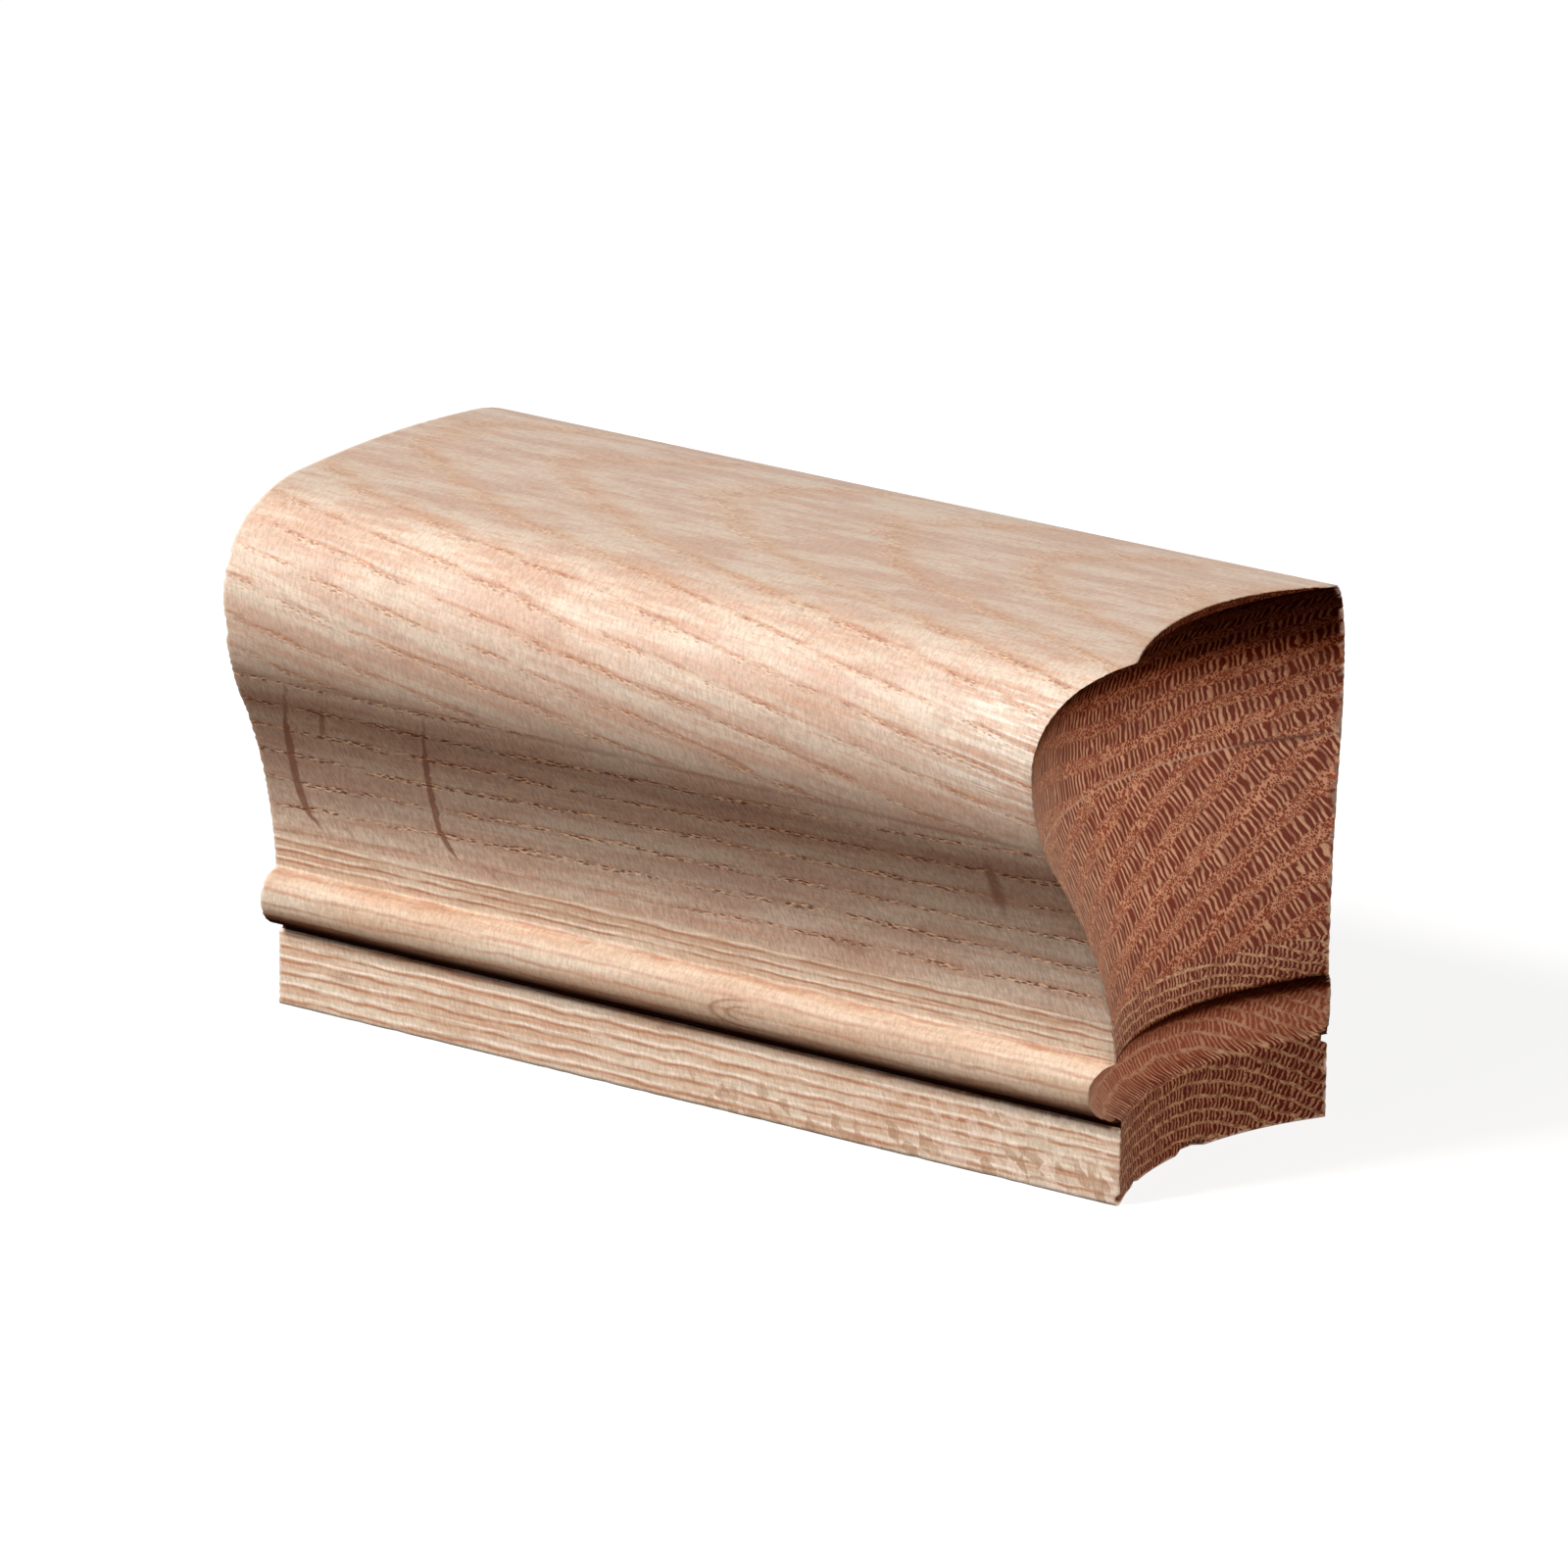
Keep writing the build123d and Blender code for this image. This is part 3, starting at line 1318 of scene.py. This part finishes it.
        ragged = season + (grit - 0.5) * 0.16
        wide = 0.40 - low * 0.21
        band = ragged.rise(wide + 0.04, wide - 0.04) + ragged.rise(0.92, 0.97)
        inner = 1 - band
        band = band * (1 - groove * 0.6) * (1 - low * 0.5 * wander.rise(0.6, 0.35))
        # Painted sheen: a greyish tan laid over the end grain on the side of -Y.
        far = Zone.FAR_SIDE.of(y)
        fill = g.blend(Tone.END_WOOD.light, Tone.END_WOOD_LOW.light, low)
        fill = g.blend(fill, Tone.END_GROOVE.light, groove * 0.6)
        fill = g.scaled(fill, 0.50 + grit)
        colour = g.blend(fill, Tone.RAY.light, ray.times(inner))
        grains = g.blend(Tone.EARLY_DARK.light, Tone.EARLY_PALE.light, grain.rise(0.25, 0.75))
        grains = g.blend(grains, Tone.EARLY_LOW.light, low * (0.4 + 0.6 * wander.rise(0.35, 0.6)))
        colour = g.blend(colour, grains, band.times(0.95))
        pits = vessel.rise(0.48, 0.28)
        holes = pits * band
        colour = g.blend(colour, Tone.VESSEL_HOLE.light, holes.times(0.9 - low * 0.4))
        colour = g.blend(colour, Tone.END_FAR.light, far * 0.55)
        glue = z.bump_at(self.upper_glue, 0.2)
        stain = glue * Zone.STAIN_FROM.of(y) * Zone.STAIN_TO.of(y)
        colour = g.blend(colour, Tone.END_GLUE.light, glue * 0.5 * (1 - stain))
        seam = (z - jitter * 0.3).bump_at(self.upper_glue - 0.15, 0.5)
        seam = seam * Zone.SEAM_FROM.of(y) * Zone.SEAM_TO.of(y)
        colour = g.blend(colour, Tone.SEAM.light, seam * 0.8)
        colour = g.scaled(colour, 0.86 + tone * 0.28)
        return colour, grit * 0.03 - pits * 0.04

    def material(self) -> bpy.types.Material:
        """Writes the finish as nodes.

        Returns:
            The material, which reads Object coordinates and the skin's two attributes.
        """
        oak = bpy.data.materials.new("bare_red_oak")
        oak.use_nodes = True
        g = Graph(oak.node_tree)
        place = g.node("ShaderNodeTexCoord").outputs["Object"]
        sized = g.node("ShaderNodeVectorMath", {"operation": "SCALE"}, {0: place, "Scale": 1 / MM})
        parts = g.node("ShaderNodeSeparateXYZ", None, {0: sized.outputs[0]})
        x, y, z = (Value(g, s) for s in parts.outputs)
        end, shade = (
            Value(g, g.node("ShaderNodeAttribute", {"attribute_name": name}).outputs["Fac"])
            for name in ("end_grain", "shade")
        )
        ring = self.rings(g, x, y, z)
        side, side_height, side_rough = self.long_grain(g, x, y, z, ring)
        across, across_height = self.end_grain(g, x, y, z, ring)
        height = side_height + (across_height - side_height) * end
        bump = g.node(
            "ShaderNodeBump", None, {"Strength": 1.0, "Distance": MM, "Height": height}
        )
        # Painted shade: the shade attribute darkens and reddens the colour through the ramp.
        depth = g.ramp(shade, self.painted_shade)
        wood = g.tinted(g.blend(side, across, end), depth)
        sanded = g.node(
            "ShaderNodeBsdfPrincipled", None,
            {"Base Color": wood, "Roughness": side_rough + (0.68 - side_rough) * end,
             "Normal": bump.outputs[0], "IOR": 1.5, "Specular IOR Level": 0.26},
        )
        dull = g.node(
            "ShaderNodeBsdfPrincipled", None,
            {"Base Color": wood, "Roughness": 0.9, "Normal": bump.outputs[0],
             "Specular IOR Level": 0.0},
        )
        # Where painted shade is strong, the gloss is dropped as well.
        shader = g.either(shade.rise(0.2, 0.7), sanded, dull)
        g.node("ShaderNodeOutputMaterial", None, {"Surface": shader.outputs[0]})
        return oak


@dataclass(frozen=True)
class Lamp:
    """A soft box, placed by its direction from the fitting. Metres and degrees."""

    name: str
    azimuth: float
    elevation: float
    distance: float
    size: float
    level: float
    colour: Colour = (1.0, 1.0, 1.0)

    def build(self, target: Vector) -> bpy.types.Object:
        """Makes the lamp, turned to the target.

        Args:
            target: what it lights.

        Returns:
            The lamp. A white surface square to it renders at its level.
        """
        data = bpy.data.lights.new(self.name, "AREA")
        data.shape = "SQUARE"
        data.size = self.size
        data.energy = self.level * math.pi**2 * self.distance**2
        data.color = self.colour
        lamp = bpy.data.objects.new(self.name, data)
        back = direction(self.azimuth, self.elevation)
        lamp.location = target + back * self.distance
        lamp.rotation_euler = (-back).to_track_quat("-Z", "Y").to_euler()
        bpy.context.scene.collection.objects.link(lamp)
        return lamp


def direction(azimuth: float, elevation: float) -> Vector:
    """Gives a unit vector from an azimuth round from -Y towards +X and an elevation."""
    turn, lift = math.radians(azimuth), math.radians(elevation)
    return Vector((
        math.sin(turn) * math.cos(lift), -math.cos(turn) * math.cos(lift), math.sin(lift)
    ))


@dataclass
class Studio:
    """Camera, lamps, floor and surroundings."""

    aim: Vector = field(default_factory=lambda: Vector((-0.00100, -0.00176, 0.03139)))
    azimuth: float = 36.591
    elevation: float = 17.099
    roll: float = 0.465
    distance: float = 1.6204
    lens: float = 346.7
    lamps: tuple[Lamp, ...] = (
        Lamp("key_soft_box", -28.0, 40.5, 1.2, 0.32, 1.29, (1.0, 0.99, 0.97)),
        Lamp("front_soft_box", -8.0, 22.0, 1.4, 0.50, 0.10, (1.0, 0.99, 0.97)),
        Lamp("side_soft_box", 100.0, 28.0, 1.4, 0.60, 0.62, (1.0, 0.96, 0.92)),
    )
    world_level: float = 0.03
    floor_size: float = 3.0
    floor_drop: float = 0.02
    floor_grey: float = 0.05
    paper_grey: float = 0.32
    paper_glow: float = 0.80

    def camera(self) -> bpy.types.Object:
        """Makes the camera where the fitting was looked at from.

        Returns:
            The camera.
        """
        data = bpy.data.cameras.new("view")
        data.sensor_width = 36.0
        data.sensor_fit = "HORIZONTAL"
        data.lens = self.lens
        data.clip_start, data.clip_end = 0.05, 30.0
        camera = bpy.data.objects.new("view", data)
        back = direction(self.azimuth, self.elevation)
        right = Vector((back.y * -1.0, back.x, 0.0)).normalized()
        up = back.cross(right)
        turn = Matrix((right, up, back)).transposed().to_4x4()
        turn = turn @ Matrix.Rotation(math.radians(self.roll), 4, "Z")
        camera.matrix_world = Matrix.Translation(self.aim + back * self.distance) @ turn
        bpy.context.scene.collection.objects.link(camera)
        bpy.context.scene.camera = camera
        return camera

    def floor(self) -> bpy.types.Object:
        """Makes the floor, which is white to the camera and keeps the fitting's shadow.

        Returns:
            The floor. It is clear from below.
        """
        bm = bmesh.new()
        bmesh.ops.create_grid(bm, x_segments=1, y_segments=1, size=self.floor_size)
        mesh = bpy.data.meshes.new("floor")
        bm.to_mesh(mesh)
        bm.free()
        floor = bpy.data.objects.new("floor", mesh)
        floor.location.z = -self.floor_drop * MM
        bpy.context.scene.collection.objects.link(floor)
        paper = bpy.data.materials.new("pale_floor")
        paper.use_nodes = True
        g = Graph(paper.node_tree)
        seen = g.seen()
        dull = g.node("ShaderNodeBsdfDiffuse", None, {"Color": (self.floor_grey,) * 3})
        white = g.node("ShaderNodeBsdfDiffuse", None, {"Color": (self.paper_grey,) * 3})
        glow = g.node(
            "ShaderNodeEmission", None, {"Color": (1, 1, 1), "Strength": self.paper_glow}
        )
        bright = g.node("ShaderNodeAddShader", None, {0: white.outputs[0], 1: glow.outputs[0]})
        shown = g.either(seen, dull, bright)
        clear = g.node("ShaderNodeBsdfTransparent")
        below = g.node("ShaderNodeNewGeometry").outputs["Backfacing"]
        whole = g.either(below, shown, clear)
        g.node("ShaderNodeOutputMaterial", None, {"Surface": whole.outputs[0]})
        mesh.materials.append(paper)
        return floor

    def surroundings(self) -> None:
        """Makes the world white to the eye and a weak even light otherwise."""
        world = bpy.data.worlds.new("studio")
        bpy.context.scene.world = world
        world.use_nodes = True
        g = Graph(world.node_tree)
        seen = g.seen()
        weak = g.node(
            "ShaderNodeBackground", None,
            {"Color": (1.0, 0.93, 0.88), "Strength": self.world_level},
        )
        white = g.node("ShaderNodeBackground", None, {"Color": (1, 1, 1), "Strength": 1.0})
        both = g.either(seen, weak, white)
        g.node("ShaderNodeOutputWorld", None, {"Surface": both.outputs[0]})

    def build(self) -> None:
        """Makes everything around the fitting."""
        scene = bpy.context.scene
        scene.view_settings.view_transform = "Standard"
        self.surroundings()
        self.floor()
        for lamp in self.lamps:
            lamp.build(self.aim)
            LOG.info("lamp %s", lamp.name)
        self.camera()


def clear_defaults() -> None:
    """Removes what a new file holds, if it is there."""
    for name in ("Cube", "Camera", "Light"):
        if name in bpy.data.objects:
            bpy.data.objects.remove(bpy.data.objects[name])


def main() -> None:
    """Builds the studio and the fitting."""
    logging.basicConfig(level=logging.INFO, format="%(name)s: %(message)s")
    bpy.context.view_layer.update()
    clear_defaults()
    Studio().build()
    piece = CopedRailEnd().build()
    LOG.info("piece %s, %d vertices", piece.name, len(piece.data.vertices))


if __name__ == "__main__":
    main()
